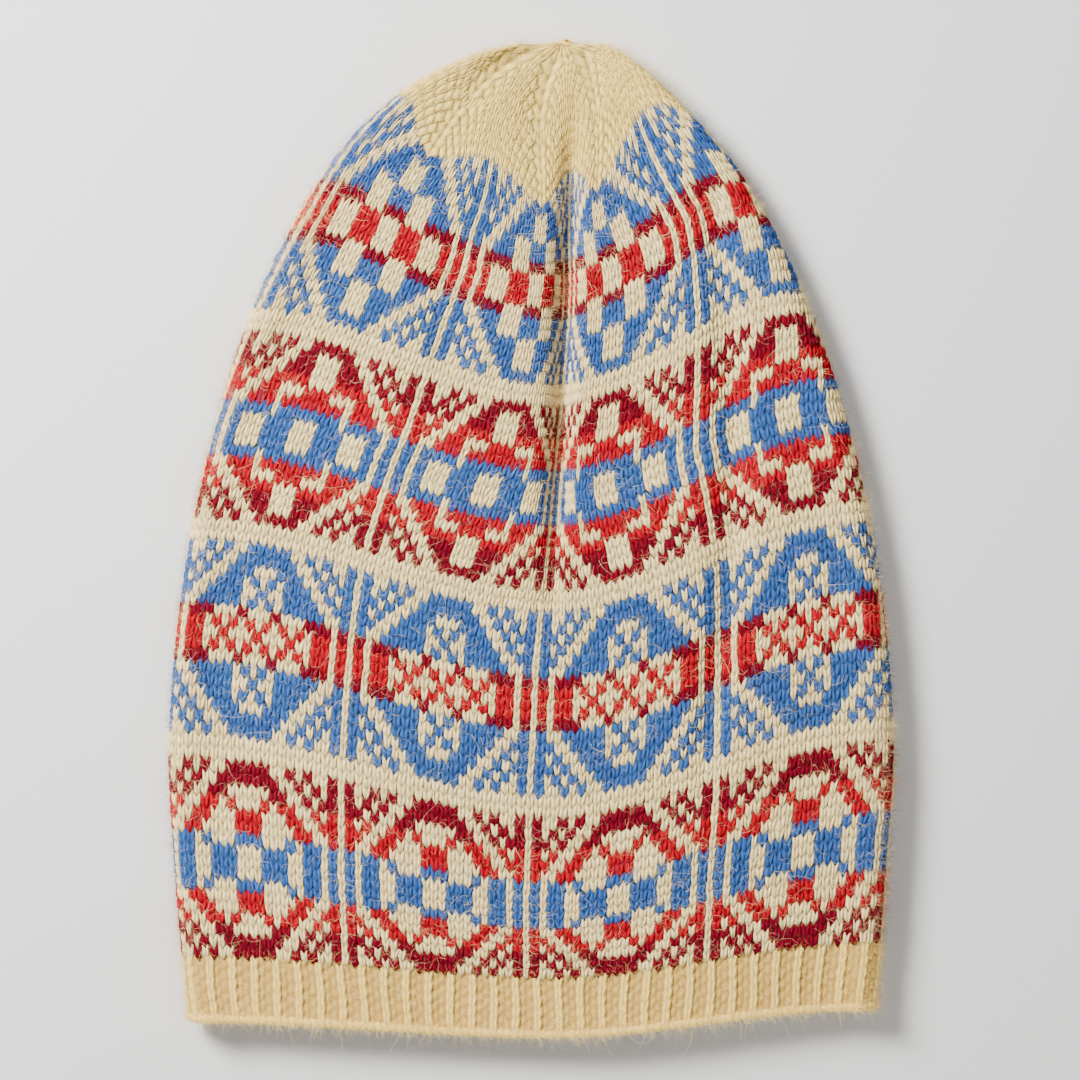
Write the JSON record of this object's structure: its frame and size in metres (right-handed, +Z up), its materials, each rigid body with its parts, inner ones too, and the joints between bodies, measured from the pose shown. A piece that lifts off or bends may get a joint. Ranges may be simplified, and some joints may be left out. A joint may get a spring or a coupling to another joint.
{
  "type": "knitted hat",
  "caption": "Long tapered knitted hat lying flat, with a ribbed brim, four geometric colourwork bands and a plain gathered crown.",
  "frame": {"origin": "on the surface the hat lies on, under the middle of its flat outline", "axes": "+Y from the brim to the crown, +X across the hat, +Z up out of the front of the hat"},
  "size_m": [0.28, 0.3862, 0.018],
  "materials": {
    "cream_wool": "brushed woollen yarn, plain knitting",
    "brim_wool": "brushed woollen yarn, ribbed",
    "blue_wool": "brushed woollen yarn, stranded with cream",
    "red_wool": "brushed woollen yarn, stranded with cream",
    "dark_red_wool": "brushed woollen yarn, stranded with cream",
    "float_wool": "loose strands carried behind the stitches"
  },
  "bodies": {
    "hat_body": {"cast_on_edge": "brim_wool", "ribbed_brim": "brim_wool", "band_1_dark_red_lower": "dark_red_wool", "band_1_red_lower": "red_wool", "band_1_blue_middle": "blue_wool", "band_1_red_upper": "red_wool", "band_1_dark_red_upper": "dark_red_wool", "band_1_floats": "float_wool", "plain_rounds_1": "cream_wool", "band_2_blue_lower": "blue_wool", "band_2_dark_red_lower": "dark_red_wool", "band_2_red_middle": "red_wool", "band_2_dark_red_upper": "dark_red_wool", "band_2_blue_upper": "blue_wool", "band_2_floats": "float_wool", "plain_rounds_2": "cream_wool", "band_3_dark_red_lower": "dark_red_wool", "band_3_red_lower": "red_wool", "band_3_blue_middle": "blue_wool", "band_3_red_upper": "red_wool", "band_3_dark_red_upper": "dark_red_wool", "band_3_floats": "float_wool"},
    "folding_crown": {"plain_rounds_3": "cream_wool", "band_4_blue_lower": "blue_wool", "band_4_dark_red_lower": "dark_red_wool", "band_4_red_middle": "red_wool", "band_4_dark_red_upper": "dark_red_wool", "band_4_blue_upper": "blue_wool", "band_4_floats": "float_wool", "crown_shaping": "cream_wool", "crown_gather": "cream_wool"}
  },
  "joints": [
    {"name": "crown_fold", "type": "hinge", "parent": "hat_body", "child": "folding_crown", "pos_m": [0, 0.063, 0.018], "axis": [1, 0, 0], "range_deg": [0, 170]}
  ]
}
